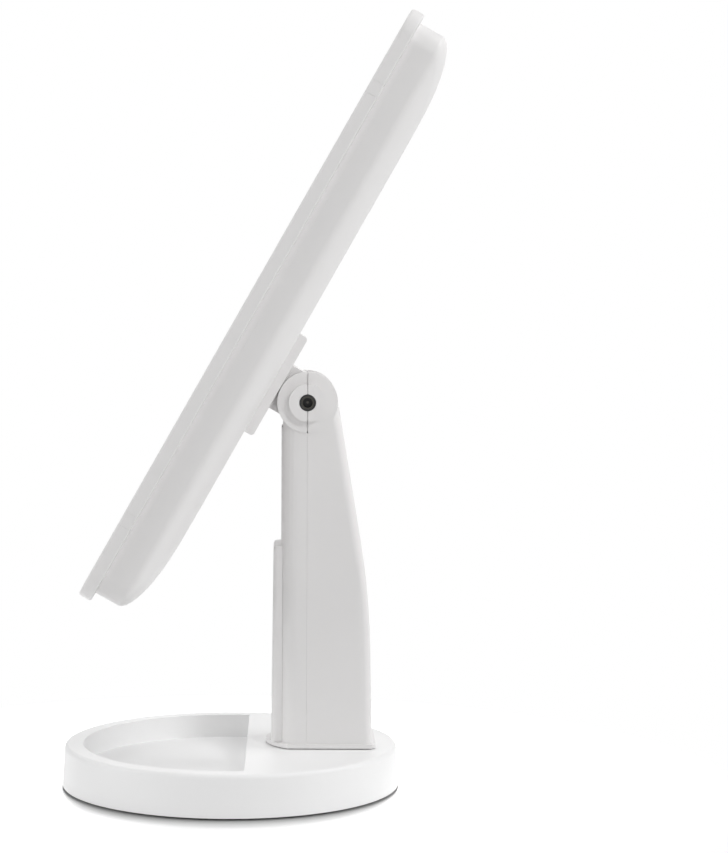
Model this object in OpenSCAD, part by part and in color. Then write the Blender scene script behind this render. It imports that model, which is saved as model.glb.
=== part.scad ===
// Trifold vanity mirror on a round tray base, wings closed, panel leaning back.
// Millimetres. -X is the user's side, +X the rear, +Z up.
// The origin is the centre of the base, on the table.

/* [Panel] */
// Length of the panel along its tall side
panel_l = 241; // [233:1:249]
// Width of the panel over the closed wings
panel_w = 178; // [172:1:186]
// Thickness of a wing
wing_t = 4.9; // [4:0.1:5.6]
// Outer corner radius of a wing
wing_corner_r = 10; // [8:0.5:13]
// Rounding of a wing's edges
wing_edge_r = 0.9; // [0.5:0.1:1.2]
// Gap between the closed wings and the bezel, and between the wings
wing_gap = 0.15; // [0.1:0.05:0.3]
// How far the casing stays inside the wings' outline
casing_inset = 3.1; // [3.1:0.1:4]
// Depth of bezel and casing together
casing_depth = 17.9; // [16:0.1:22]
// Height of the straight side wall of bezel and casing together
casing_side_h = 9.1; // [7.5:0.1:10]
// Width of the curved border of the casing's back
crown_w = 28; // [24:1:36]
// Corner radius of the casing
casing_corner_r = 9; // [7:0.5:12]
// Wall of the casing
casing_wall = 2.2; // [1.8:0.1:2.6]
// Thickness of the bezel
bezel_t = 2.6; // [2.4:0.1:3]
// Gap between the bezel and the casing
casing_gap = 0.04; // [0.02:0.01:0.1]
// Thickness of the mirror glass
mirror_t = 1.5; // [1.2:0.1:1.6]

/* [Centre mirror and lights] */
// Margin of the centre mirror to the casing's sides, where the side lights are
mirror_side_margin = 18.9; // [17:0.1:26]
// Margin of the centre mirror to the casing's lower end
mirror_bottom_margin = 9; // [7:1:14]
// Margin of the centre mirror to the casing's upper end, where the top lights are
mirror_top_margin = 20; // [18:1:26]
// Lights in each side row
side_leds = 8; // [5:1:10]
// Lights in the top row
top_leds = 5; // [3:1:7]
// Spacing of the lights in a side row
side_led_pitch = 23; // [18:1:24]
// Radius of a light's lens
lens_r = 2.5; // [2:0.1:3]
// Width of the circuit strips
led_board_w = 9; // [8:0.5:11]

/* [Wing hinges] */
// Radius of the steel hinge pins
pin_r = 0.6; // [0.5:0.05:0.7]
// Distance of the pins in from the wing's outer edge
pin_in = 1.4; // [1.3:0.05:1.5]
// Width of an ear along the pin
ear_w = 5; // [4:0.5:12]
// Distance of the ears from the panel's middle
ear_at = 88; // [70:1:92]
// Gap between an ear and its wing
ear_gap = 0.08; // [0.06:0.01:0.2]
// Running gap around a hinge pin
pin_gap = 0.05; // [0.03:0.01:0.08]

/* [Tilt hinge] */
// Distance of the tilt axis in front of the base's rear edge
pivot_in = 36; // [33:0.5:39]
// Height of the tilt axis over the table
pivot_z = 150; // [140:1:170]
// Distance of the tilt axis from the panel's lower end, along the panel
pivot_up = 97.8; // [90:0.1:110]
// How far the panel leans back at rest, in degrees from upright
rest_lean = 29.5; // [0:0.1:60]
// Radius of the round flanges at the top of the post
flange_r = 11.7; // [11:0.1:13]
// How far a flange stands out of the post's side
flange_out = 0.8; // [0.4:0.1:1.5]
// Radius of the boss on each flange
boss_r = 7.2; // [6:0.1:8]
// How far a boss stands out of its flange
boss_out = 3.9; // [3:0.1:5]
// Gap between the flanges and the bracket's plate
flange_gap = 0.3; // [0.2:0.05:0.6]
// Length of the bracket's plate along the panel
plate_l = 43; // [36:1:50]
// Thickness of the bracket's plate
plate_t = 4.1; // [3:0.1:5]
// Radius of the bracket's barrel
tongue_r = 9.4; // [9:0.1:10.4]
// Thickness of the post's cheeks beside the barrel
cheek_t = 4; // [3.5:0.1:5]
// Outer radius of the hinge axle
axle_r = 4.6; // [4.4:0.1:5]
// Radius of the hole through the hinge axle
axle_hole_r = 3.3; // [3.25:0.05:3.5]
// Running gap between the axle and the barrel
axle_gap = 0.05; // [0.03:0.01:0.08]
// Thickness of a friction washer
washer_t = 0.5; // [0.4:0.05:0.7]
// Play on each side of a friction washer
washer_play = 0.1; // [0.05:0.05:0.2]

/* [Power socket] */
// Outer radius of the black socket housing
jack_r = 3.2; // [3:0.05:3.2]
// Radius of the hole that takes the plug
plug_hole_r = 1.9; // [1.8:0.05:2]
// Length of the socket's metal sleeve
sleeve_l = 4; // [3:0.5:4.5]
// Length of the socket housing
jack_l = 10; // [9:0.5:11]

/* [Post] */
// Width of the post
post_w = 30.6; // [29.6:0.2:34]
// Distance of the post's front face from the tilt axis
post_front = 10; // [9:0.1:10.6]
// Distance of the post's rear face from the tilt axis, at the foot
post_rear = 25.3; // [23:0.1:27]
// Draft of the lower part of the rear face, in degrees
post_draft = 1; // [0.5:0.1:1.5]
// Slope of the upper part of the rear face, in degrees
post_slope = 9.45; // [8:0.05:11]
// Half height of the bend between the two parts of the rear face
post_bend = 22; // [16:1:26]
// Radius of the post's front corners
post_front_r = 6.5; // [5.5:0.1:8]
// Radius of the post's rear corners
post_rear_r = 3.5; // [2.5:0.1:5]
// Wall of the post
post_wall = 2.2; // [1.8:0.1:2.6]
// Gap between the post's two halves
seam = 0.04; // [0.02:0.01:0.1]
// Width and depth of the groove that marks the seam on the flanges and bosses
seam_groove = 0.5; // [0.3:0.1:0.8]
// Height of the foot lip
foot_h = 1.5; // [1:0.1:2.5]
// How far the foot lip stands out
foot_out = 1.4; // [1:0.1:2]
// How far the foot lip bows out in front of the door
foot_bow = 5.7; // [5.2:0.1:7]
// Height of the dark gap under the foot lip
foot_gap = 0.4; // [0.3:0.1:0.8]

/* [Battery door] */
// Height of the door's top over the table
door_top_z = 94.5; // [90:0.5:104]
// Width of the door
door_w = 23; // [22:0.5:24]
// How far the door stands out at its top
door_out_top = 2.95; // [2.4:0.05:3.4]
// How far the door stands out at its foot
door_out_foot = 3.7; // [3.4:0.05:4.2]
// Radius of the door's long edges
door_r = 2.2; // [1.6:0.1:2.4]
// Gap between the door and the post
door_gap = 0.3; // [0.2:0.05:0.4]
// Wall of the door
door_wall = 1.5; // [1.2:0.1:1.8]

/* [Cells] */
// Radius of a cell
cell_r = 5.25; // [5:0.05:5.25]
// Length of a cell over its button
cell_l = 44.5; // [43:0.1:45]
// Height of a contact spring
spring_h = 4; // [3:0.5:5]
// Height of the cradle's underside over the table
cradle_z = 28; // [28:0.5:36]
// Wall of the cradle
cradle_wall = 0.8; // [0.8:0.1:1.2]
// Thickness of the contact plates
contact_t = 0.4; // [0.3:0.1:0.6]

/* [Base] */
// Radius of the base at the bottom
base_r = 65.5; // [62:0.5:70]
// How much narrower the base is at its top, per side
base_taper = 0.8; // [0.4:0.1:1.6]
// Height of the moulded base shell
base_h = 15.7; // [14.5:0.1:18]
// Rounding of the base's top edge
base_edge_r = 1.5; // [0.8:0.1:2]
// Wall of the base shell
base_wall = 2.4; // [2:0.1:2.8]
// Width of the border between the tray and the base's top edge
tray_border = 7.2; // [6:0.1:9]
// Distance of the tray's straight rear wall in front of the tilt axis
tray_to_pivot = 23.2; // [21:0.1:27]
// Depth of the tray
tray_depth = 9.2; // [7:0.1:9.5]
// Thickness of the bottom cover
cover_t = 1.8; // [1.4:0.1:2.2]
// Height of the base shell's rim over the table
rim_z = 0.8; // [0.6:0.1:1.2]
// Thickness of the non-slip pad
pad_t = 1.2; // [1:0.1:1.6]
// Gap between the steel ballast and the tray's floor
ballast_gap = 0.3; // [0.2:0.1:0.6]

/* [Hidden] */

white = [0.93, 0.93, 0.925];
steel = [0.72, 0.73, 0.75];
glass = [0.8, 0.86, 0.9];
board_green = [0.12, 0.4, 0.25];
$fn = 96;

base_top_r = base_r - base_taper;
tray_r = base_top_r - tray_border;
pivot_x = base_r - pivot_in;
tray_x = pivot_x - tray_to_pivot;

// Depths behind the tilt axis, in the panel's own frame: rearwards is positive.
plate_back = -(flange_r + flange_gap);
casing_back = plate_back - plate_t;
bezel_front = casing_back - casing_depth;
casing_front = bezel_front + bezel_t;
wing_back = bezel_front - wing_gap;
wing_front = wing_back - wing_t;
wall_end = bezel_front + casing_side_h;
crown_h = casing_depth - casing_side_h;

// Outlines in the panel's own frame: across, and up from the tilt axis.
panel_mid = panel_l / 2 - pivot_up;
casing_a = panel_w / 2 - casing_inset;
casing_b = panel_l / 2 - casing_inset;
pin_a = panel_w / 2 - pin_in;
pin_c = wing_back - pin_in + 0.1;
mirror_w = 2 * (casing_a - mirror_side_margin);
mirror_low = panel_mid - casing_b + mirror_bottom_margin;
mirror_high = panel_mid + casing_b - mirror_top_margin;
mirror_seat = mirror_t + 0.1;
led_a = (mirror_w / 2 + casing_a - casing_wall) / 2;
led_row_b = (mirror_high + panel_mid + casing_b - casing_wall) / 2;
top_led_pitch = 2 * led_a / (top_leds + 1);
side_led_top = led_row_b - side_led_pitch;
lens_flange_t = 1;
led_chip_h = 1.2;
board_t = 1.2;
board_front = casing_front + lens_flange_t + led_chip_h + 0.3;
board_post_r = 2.5;

// Post, base and foot.
base_z = rim_z + base_h;
foot_z = base_z + foot_gap;
foot_top = foot_z + foot_h;
post_top = pivot_z - flange_r * sin(post_slope);
slot_r = tongue_r + 0.5;
slot_w = post_w - 2 * cheek_t;
tongue_w = slot_w - 2 * (washer_t + 2 * washer_play);
hall_top = pivot_z - slot_r - post_wall;
flange_y = post_w / 2 + flange_out;
boss_y = flange_y + boss_out;
plate_w = 2 * boss_y;
axle_l = post_w - 2 * 0.7;
tray_z = base_z - tray_depth;
cover_z = pad_t;
cover_top = cover_z + cover_t;
ballast_t = tray_z - base_wall - ballast_gap - cover_top;
base_inner_r = base_top_r - base_wall;
screw_r = 1.4;
head_r = 2.8;
foot_boss_r = 3.2;
foot_screw_spots = [for (x = [pivot_x - 4.5, pivot_x + 17], y = [-8.5, 8.5]) [x, y]];
cover_screw_angles = [45, 135, 225, 315];
cover_screw_r = tray_r - 7;
post_screw_z = [door_top_z - 2.5, hall_top - 10];

// Cells.
cell_pitch = 2 * cell_r + 0.2;
cell_x = pivot_x - post_front + post_wall + 3.4 + cell_r;
cradle_w = 2 * cell_pitch + 2 * cradle_wall;
cell_low = cradle_z + cradle_wall + contact_t;
cell_room = cell_l + spring_h;
cradle_top = cell_low + cell_room + contact_t + cradle_wall;
cell_spots = [for (i = [0, 1], j = [0, 1])
    [cell_x + i * cell_pitch, (j - 0.5) * cell_pitch, (i + j) % 2]];
window_w = 2 * (door_w / 2 - door_wall - 0.2);
window_z = [foot_top + 4, cradle_top + 3];
door_z = foot_top + door_gap;

// Distance of the post's rear face behind the tilt axis, at height z. Two straight
// parts, the upper one tangent to the flange, joined by a parabolic bend.
function upper_rear(z) = flange_r / cos(post_slope) + (pivot_z - z) * tan(post_slope);
function lower_rear(z) = post_rear - (z - base_z) * tan(post_draft);
bend_z = (flange_r / cos(post_slope) + pivot_z * tan(post_slope) - post_rear
    - base_z * tan(post_draft)) / (tan(post_slope) - tan(post_draft));
function post_rear_at(z) =
    z < bend_z - post_bend ? lower_rear(z) :
    z > bend_z + post_bend ? upper_rear(z) :
    lower_rear(z) - (tan(post_slope) - tan(post_draft))
        * pow(z - bend_z + post_bend, 2) / (4 * post_bend);

// Points of an arc, both ends included.
function arc(x, y, r, from, to, steps) =
    [for (i = [0:steps]) let (a = from + (to - from) * i / steps) [x + r * cos(a), y + r * sin(a)]];

// Rectangle with four corner radii, anticlockwise from the corner at low x and low y.
function rounded(x0, x1, y0, y1, r, steps = 6) = concat(
    arc(x0 + r[0], y0 + r[0], r[0], 180, 270, steps),
    arc(x1 - r[1], y0 + r[1], r[1], 270, 360, steps),
    arc(x1 - r[2], y1 - r[2], r[2], 0, 90, steps),
    arc(x0 + r[3], y1 - r[3], r[3], 90, 180, steps));

function at_height(outline, z) = [for (p = outline) [p.x, p.y, z]];

// Closed skin over a list of rings that all have as many points.
module loft(rings) {
    n = len(rings[0]);
    m = len(rings);
    low_cap = [for (i = [0:n - 1]) i];
    high_cap = [for (i = [n - 1:-1:0]) (m - 1) * n + i];
    sides = [for (k = [0:m - 2], i = [0:n - 1]) let (j = (i + 1) % n)
        each [[k * n + i, (k + 1) * n + i, k * n + j],
              [k * n + j, (k + 1) * n + i, (k + 1) * n + j]]];
    polyhedron([for (ring = rings) each ring], concat([low_cap, high_cap], sides), convexity = 8);
}

// Places children given as [across, up from the tilt axis, rearwards] on the panel.
module at_panel() {
    translate([pivot_x, 0, pivot_z]) rotate([0, rest_lean, 0]) rotate([90, 0, 90]) children();
}

module at_pivot() {
    translate([pivot_x, 0, pivot_z]) children();
}

// Cylinder along Y from y0 to y1 on the tilt axis.
module cross_cylinder(r, y0, y1) {
    at_pivot() translate([0, y1, 0]) rotate([90, 0, 0]) cylinder(r = r, h = y1 - y0);
}

// Tube along Y on the tilt axis.
module cross_tube(r, hole_r, y0, y1) {
    difference() {
        cross_cylinder(r, y0, y1);
        cross_cylinder(hole_r, y0 - 1, y1 + 1);
    }
}

// Screw that points up: head below z = 0, shank above.
module screw(shank_l, head_h = 1.8) {
    cylinder(r = screw_r, h = shank_l, $fn = 24);
    translate([0, 0, -head_h]) difference() {
        cylinder(r = head_r - 0.2, h = head_h, $fn = 32);
        for (a = [0, 90]) rotate(a) translate([-1.4, -0.3, -1]) cube([2.8, 0.6, 1.8]);
    }
}

// ---- Base ----

// Area inside the tray, grown by a margin.
module tray_area(grow) {
    intersection() {
        circle(r = tray_r + grow, $fn = 180);
        translate([-base_r, -base_r]) square([base_r + tray_x + grow, 2 * base_r]);
    }
}

module base_shell() {
    slope = (base_r - base_top_r) / base_h;
    edge_x = base_top_r - base_edge_r;
    color(white) difference() {
        union() {
            difference() {
                rotate_extrude($fn = 180) union() {
                    polygon([[0, rim_z], [base_r, rim_z],
                        [base_top_r + slope * base_edge_r, base_z - base_edge_r],
                        [edge_x, base_z - base_edge_r], [edge_x, base_z], [0, base_z]]);
                    translate([edge_x, base_z - base_edge_r]) intersection() {
                        circle(r = base_edge_r, $fn = 48);
                        square(base_edge_r + slope * base_edge_r);
                    }
                }
                translate([0, 0, rim_z - 1])
                    cylinder(r = base_inner_r, h = base_h + 1 - base_wall, $fn = 180);
            }
            translate([0, 0, tray_z - base_wall])
                linear_extrude(tray_depth + base_wall - 0.01) tray_area(base_wall);
            for (a = cover_screw_angles) rotate(a) translate([cover_screw_r, 0, cover_top])
                cylinder(r = foot_boss_r, h = base_z - tray_depth - cover_top - 1);
            for (a = cover_screw_angles) if (cos(a) > 0)
                rotate(a) translate([cover_screw_r, 0, cover_top])
                    cylinder(r = foot_boss_r, h = base_z - 1 - cover_top);
            translate([0, 0, base_z - 1]) linear_extrude(1 + foot_gap) post_seat(0);
        }
        translate([0, 0, tray_z]) linear_extrude(tray_depth + 1) tray_area(0);
        for (p = foot_screw_spots) translate([p.x, p.y, base_z - base_wall - 1])
            cylinder(r = screw_r + 0.2, h = base_wall + foot_gap + 2, $fn = 32);
        for (a = cover_screw_angles) rotate(a) translate([cover_screw_r, 0, cover_top - 1])
            cylinder(r = screw_r, h = tray_z - base_wall - cover_top + 1.4, $fn = 32);
    }
}

module base_bottom_cover() {
    color(white) difference() {
        translate([0, 0, cover_z]) cylinder(r = base_inner_r - 0.2, h = cover_t, $fn = 180);
        for (a = cover_screw_angles) rotate(a) translate([cover_screw_r, 0, cover_z - 1])
            cylinder(r = screw_r + 0.2, h = cover_t + 2, $fn = 32);
    }
}

module ballast_plate() {
    color(steel) difference() {
        translate([0, 0, cover_top]) cylinder(r = base_inner_r - 2, h = ballast_t, $fn = 180);
        for (a = cover_screw_angles) rotate(a) translate([cover_screw_r, 0, cover_top - 1])
            cylinder(r = foot_boss_r + 0.4, h = ballast_t + 2, $fn = 48);
    }
}

module non_slip_pad() {
    color([0.3, 0.3, 0.31]) difference() {
        cylinder(r = base_inner_r - 3.2, h = pad_t, $fn = 180);
        for (a = cover_screw_angles) rotate(a) translate([cover_screw_r, 0, -1])
            cylinder(r = head_r + 0.4, h = pad_t + 2, $fn = 48);
    }
}

module base_screws() {
    color(steel) for (a = cover_screw_angles) rotate(a)
        translate([cover_screw_r, 0, cover_z]) screw(tray_z - base_wall - cover_top + cover_t - 0.4, 0.9);
}

// ---- Post ----

// Outline of the post at height z, drawn in by an inset.
function post_ring(z, inset) = at_height(rounded(
    pivot_x - post_front + inset, pivot_x + post_rear_at(z) - inset,
    -post_w / 2 + inset, post_w / 2 - inset,
    [post_front_r - inset, max(post_rear_r - inset, 0.6),
     max(post_rear_r - inset, 0.6), post_front_r - inset]), z);

module post_body(low, high, inset) {
    bend_low = max(low + 1, bend_z - post_bend);
    bend_high = min(high - 1, bend_z + post_bend);
    levels = concat([low], [for (i = [0:6]) bend_low + (bend_high - bend_low) * i / 6], [high]);
    loft([for (z = levels) post_ring(z, inset)]);
}

// Outline of the foot lip: it bows out in front of the door.
module foot_outline() {
    half = post_w / 2 + foot_out;
    front = post_front + foot_bow;
    bow = post_front + foot_bow - 7.2;
    bow_r = (half * half + bow * bow) / (2 * bow);
    intersection() {
        translate([pivot_x - front + bow_r, 0]) union() {
            circle(r = bow_r, $fn = 180);
            translate([0, -half]) square([2 * base_r, 2 * half]);
        }
        translate([pivot_x - front, 0]) union() {
            translate([0, -half]) square([front + post_rear, 2 * half]);
            translate([0, -half + post_rear_r])
                square([front + post_rear + foot_out, 2 * (half - post_rear_r)]);
            for (side = [-1, 1])
                translate([front + post_rear + foot_out - post_rear_r, side * (half - post_rear_r)])
                    circle(r = post_rear_r, $fn = 48);
        }
    }
}

// Raised seat on the base, smaller than the foot lip, that leaves the dark gap.
module post_seat(grow) {
    translate([pivot_x - post_front + 2, -post_w / 2 + 2])
        square([post_front + post_rear - 4 + grow, post_w - 4]);
}

// The whole post before it is split, with the slot of the tilt hinge.
module post() {
    difference() {
        union() {
            difference() {
                post_body(foot_z, post_top, 0);
                post_body(foot_z - 1, hall_top, post_wall);
            }
            translate([0, 0, foot_z]) linear_extrude(foot_h) difference() {
                foot_outline();
                translate([pivot_x, 0]) square([2 * (post_front - 1), post_w - 2 * post_wall],
                    center = true);
                translate([pivot_x, -post_w / 2 + post_wall])
                    square([post_rear - post_wall, post_w - 2 * post_wall]);
            }
            cross_cylinder(flange_r, -flange_y, flange_y);
            cross_cylinder(boss_r, -boss_y, boss_y);
        }
        cross_cylinder(slot_r, -slot_w / 2, slot_w / 2);
        at_pivot() translate([-2 * flange_r, -slot_w / 2, -slot_r])
            cube([2 * flange_r, slot_w, 4 * flange_r]);
        at_pivot() translate([-1, -slot_w / 2, 0])
            cube([2 * flange_r, slot_w, 2 * flange_r]);
        cross_cylinder(axle_r, -axle_l / 2, axle_l / 2);
        cross_cylinder(jack_r + 0.05, -boss_y - 1, 0);
        translate([pivot_x, 0, hall_top - 1]) cylinder(r = 2.5, h = 2 * post_wall + 2);
        seam_line();
    }
}

// Groove along the seam, around both flanges and bosses.
module seam_line() {
    intersection() {
        translate([pivot_x - seam_groove / 2, -2 * post_w, pivot_z - 2 * flange_r])
            cube([seam_groove, 4 * post_w, 4 * flange_r]);
        difference() {
            cross_cylinder(flange_r + 0.01, -boss_y - 1, boss_y + 1);
            cross_cylinder(flange_r - seam_groove, seam_groove - flange_y, flange_y - seam_groove);
            cross_cylinder(boss_r - seam_groove, seam_groove - boss_y, boss_y - seam_groove);
        }
    }
}

// Half of space in front of the seam or behind it.
module seam_side(rear) {
    translate([rear ? pivot_x + seam / 2 : pivot_x - seam / 2 - 4 * post_w, -2 * post_w, 0])
        cube([4 * post_w, 4 * post_w, 2 * pivot_z]);
}

// Screw posts that stand on the inside of a half, up to the seam.
module foot_bosses(rear) {
    for (p = foot_screw_spots) if ((p.x > pivot_x) == rear)
        translate([p.x, p.y, foot_z]) difference() {
            union() {
                cylinder(r = foot_boss_r, h = cradle_z - foot_z);
                translate([-foot_boss_r / 3, p.y > 0 ? 0 : -post_w / 2 + 1 - p.y, 0])
                    cube([foot_boss_r, post_w / 2 - 1 - abs(p.y), cradle_z - foot_z]);
            }
            translate([0, 0, -1]) cylinder(r = screw_r, h = cradle_z - foot_z - 2, $fn = 32);
        }
}

module column_front_shell() {
    hook_notch = window_w / 2 + 1.4;
    color(white) intersection() {
        seam_side(false);
        difference() {
            union() {
                post();
                foot_bosses(false);
                for (z = post_screw_z) translate([pivot_x - post_front + 1, 0, z])
                    rotate([0, 90, 0]) cylinder(r = foot_boss_r, h = post_front);
            }
            translate([pivot_x - 2 * post_front, -window_w / 2, window_z[0]])
                cube([post_front + post_wall + 2, window_w, window_z[1] - window_z[0]]);
            for (z = hook_spots) translate([pivot_x - 2 * post_front, -hook_notch, z + hook_h + 0.5])
                cube([post_front + post_wall + 2, 2 * hook_notch, hook_h + 2.5]);
            for (z = post_screw_z) translate([pivot_x - post_front + 3, 0, z])
                rotate([0, 90, 0]) cylinder(r = screw_r, h = post_front, $fn = 32);
        }
    }
}

module column_rear_shell() {
    color(white) intersection() {
        seam_side(true);
        difference() {
            union() {
                post();
                foot_bosses(true);
                for (z = post_screw_z) translate([pivot_x, 0, z]) rotate([0, 90, 0])
                    cylinder(r = foot_boss_r + 1, h = post_rear_at(z) - 1);
            }
            for (z = post_screw_z) translate([pivot_x - 1, 0, z]) rotate([0, 90, 0]) {
                cylinder(r = screw_r + 0.2, h = 2 * post_rear, $fn = 32);
                translate([0, 0, 2 * screw_r + 1.2])
                    cylinder(r = head_r + 0.2, h = 2 * post_rear, $fn = 48);
            }
        }
    }
}

module column_screws() {
    color(steel) for (z = post_screw_z) translate([pivot_x + 2 * screw_r + 0.2, 0, z])
        rotate([0, -90, 0]) screw(post_front - 1);
}

module foot_screws() {
    color(steel) for (p = foot_screw_spots) translate([p.x, p.y, base_z - base_wall])
        screw(base_wall + foot_gap + cradle_z - foot_z - 3);
}

// ---- Battery door ----

hook_spots = [for (t = [0.185, 0.71]) door_z + t * (door_top_z - door_z)];
hook_h = 6;
hook_foot = 2.4;
// Depth of the post's inner face behind its front, where the hooks' feet end.
hook_reach = post_front_r - sqrt(pow(post_front_r - post_wall, 2)
    - pow(window_w / 2 - door_gap - 1.2 + hook_foot - post_w / 2 + post_front_r, 2));

// Outline of the door at height z, from its front to inside the post's front.
function door_ring(z, out, inset) = at_height(rounded(
    pivot_x - post_front - out + inset, pivot_x - post_front + post_front_r / 2,
    -door_w / 2 + inset, door_w / 2 - inset,
    [door_r, 0.4, 0.4, door_r]), z);

module battery_door() {
    back_x = pivot_x - post_front;
    round_h = 1.2;
    color(white) {
        difference() {
            loft([door_ring(door_z, door_out_foot, 0),
                door_ring(door_top_z - round_h, door_out_top, 0),
                door_ring(door_top_z - 0.4, door_out_top, 0.3),
                door_ring(door_top_z, door_out_top, 1)]);
            post_body(foot_z, post_top - 1, -door_gap);
            translate([back_x - door_out_top + door_wall, -door_w / 2 + 2 * door_wall, door_z + 3])
                cube([post_front, door_w - 4 * door_wall, door_top_z - door_z - 6]);
        }
        for (z = hook_spots, side = [-1, 1]) scale([1, side, 1])
            translate([back_x - door_out_top + door_wall - 0.2, window_w / 2 - door_gap - 1.2, z]) {
                cube([door_out_top - door_wall + hook_reach + door_gap + 1.4, 1.2, hook_h]);
                translate([door_out_top - door_wall + hook_reach + door_gap + 0.2, 0, 0])
                    cube([1.2, hook_foot, hook_h]);
            }
    }
}

// ---- Cells ----

module battery_cradle() {
    front_x = cell_x;
    rear_x = cell_x + cell_pitch + cell_r + 0.3;
    color([0.85, 0.85, 0.84]) difference() {
        translate([front_x, -cradle_w / 2, cradle_z])
            cube([rear_x + cradle_wall - front_x, cradle_w, cradle_top - cradle_z]);
        translate([front_x - 1, -cell_pitch, cradle_z + cradle_wall])
            cube([rear_x - front_x + 1, 2 * cell_pitch, cradle_top - cradle_z - 2 * cradle_wall]);
    }
}

// A cell standing on its flat end.
module cell() {
    button_h = 1.2;
    cylinder(r = cell_r, h = cell_l - button_h, $fn = 48);
    cylinder(r = 1.9, h = cell_l, $fn = 32);
}

module battery_cells() {
    color([0.25, 0.27, 0.3]) for (s = cell_spots) translate([s[0], s[1], cell_low])
        if (s[2] == 0) translate([0, 0, spring_h]) cell();
        else translate([0, 0, cell_l]) mirror([0, 0, 1]) cell();
}

module battery_contacts() {
    color(steel) for (z = [cell_low - contact_t, cell_low + cell_room])
        for (s = cell_spots) translate([s[0] - cell_r + 0.6, s[1] - cell_r + 0.4, z])
            cube([2 * cell_r - 0.8, 2 * cell_r - 0.8, contact_t]);
}

// Conical coil as one unbroken tube, wide end down.
module contact_spring() {
    turns = 3;
    per_turn = 10;
    sides = 6;
    wire_r = 0.35;
    wide_r = 3.4;
    tip_r = 2;
    steps = turns * per_turn;
    loft([for (k = [0:steps]) let (a = -360 * k / per_turn, t = k / steps,
            coil_r = wide_r + (tip_r - wide_r) * t,
            z = wire_r + (spring_h - 2 * wire_r) * t)
        [for (j = [0:sides - 1]) let (b = 360 * j / sides, r = coil_r + wire_r * cos(b))
            [r * cos(a), r * sin(a), z + wire_r * sin(b)]]]);
}

module battery_springs() {
    color(steel) for (s = cell_spots) translate([s[0], s[1], 0])
        if (s[2] == 0) translate([0, 0, cell_low]) contact_spring();
        else translate([0, 0, cell_low + cell_room]) rotate([180, 0, 0]) contact_spring();
}

// ---- Power socket and axle ----

jack_face = -boss_y - 0.1;
sleeve_start = jack_face + 0.5;
sleeve_end = sleeve_start + sleeve_l;

module dc_jack() {
    color([0.05, 0.05, 0.055]) difference() {
        cross_cylinder(jack_r, jack_face, jack_face + jack_l);
        cross_cylinder(plug_hole_r + 0.6, jack_face - 1, sleeve_end);
        cross_cylinder(plug_hole_r + 0.3, jack_face, jack_face + jack_l - 1.5);
    }
}

module jack_sleeve() {
    color(steel) cross_tube(plug_hole_r + 0.6, plug_hole_r, sleeve_start, sleeve_end);
}

module jack_contacts() {
    color(steel) {
        cross_cylinder(0.5, sleeve_end + 0.5, jack_face + jack_l - 1.5);
        for (side = [-1, 1]) at_pivot()
            translate([side * 1.2 - 0.6, jack_face + jack_l, -0.2]) cube([1.2, 3, 0.4]);
    }
}

module hinge_axle() {
    color(steel) cross_tube(axle_r, axle_hole_r, -axle_l / 2, axle_l / 2);
}

module friction_washers() {
    color(steel) for (side = [-1, 1]) {
        near = side * (tongue_w / 2 + washer_play);
        far = side * (tongue_w / 2 + washer_play + washer_t);
        cross_tube(tongue_r - 1, axle_r + axle_gap, min(near, far), max(near, far));
    }
}

// ---- Bracket ----

// Side profile: plate, neck and barrel, in [up, rearwards].
module bracket_profile(neck) {
    corner_r = 1.4;
    if (neck) difference() {
        union() {
            circle(r = tongue_r);
            translate([-tongue_r, plate_back - 1]) square([2 * tongue_r, -plate_back + 1]);
        }
        circle(r = axle_r + axle_gap);
    } else union() {
        translate([-plate_l / 2, casing_back]) square([plate_l, plate_t - corner_r]);
        translate([-plate_l / 2 + corner_r, casing_back])
            square([plate_l - 2 * corner_r, plate_t]);
        for (end = [-1, 1]) translate([end * (plate_l / 2 - corner_r), plate_back - corner_r])
            circle(r = corner_r, $fn = 48);
    }
}

bracket_screw_spots = [for (a = [-1, 1], b = [-1, 1])
    [a * (plate_w / 2 - 5), b * (plate_l / 2 - 5.5)]];

module bracket_slab(width, neck) {
    translate([-width / 2, 0, 0]) rotate([90, 0, 90]) linear_extrude(width)
        bracket_profile(neck);
}

module hinge_bracket() {
    color(white) at_panel() difference() {
        union() {
            bracket_slab(plate_w, false);
            bracket_slab(tongue_w, true);
        }
        for (p = bracket_screw_spots) translate([p.x, p.y, casing_back - 1])
            cylinder(r = screw_r, h = plate_t, $fn = 32);
    }
}

module bracket_screws() {
    color(steel) at_panel() for (p = bracket_screw_spots)
        translate([p.x, p.y, casing_back - casing_wall]) screw(casing_wall + plate_t - 1.4);
}

// ---- Panel ----

// Outline of bezel and casing, drawn in by an inset. Corners open up towards the back.
function casing_ring(inset, c) = at_height(rounded(
    -casing_a + inset, casing_a - inset,
    panel_mid - casing_b + inset, panel_mid + casing_b - inset,
    [for (i = [0:3]) casing_corner_r + 0.5 * inset]), c);

// Rings of the pillow-shaped back, from the rim to the flat, as a quarter ellipse.
function crown_rings(wall) = [for (a = [0:9:90])
    casing_ring(wall + (crown_w - wall) * (1 - cos(a)), wall_end + (crown_h - wall) * sin(a))];

function reversed(list) = [for (i = [len(list) - 1:-1:0]) list[i]];

// Depth of the casing's inner surface at a distance in from its side.
function inner_depth(from_side) = from_side >= crown_w ? casing_back - casing_wall :
    wall_end + (crown_h - casing_wall)
        * sqrt(1 - pow(1 - (from_side - casing_wall) / (crown_w - casing_wall), 2));

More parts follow.
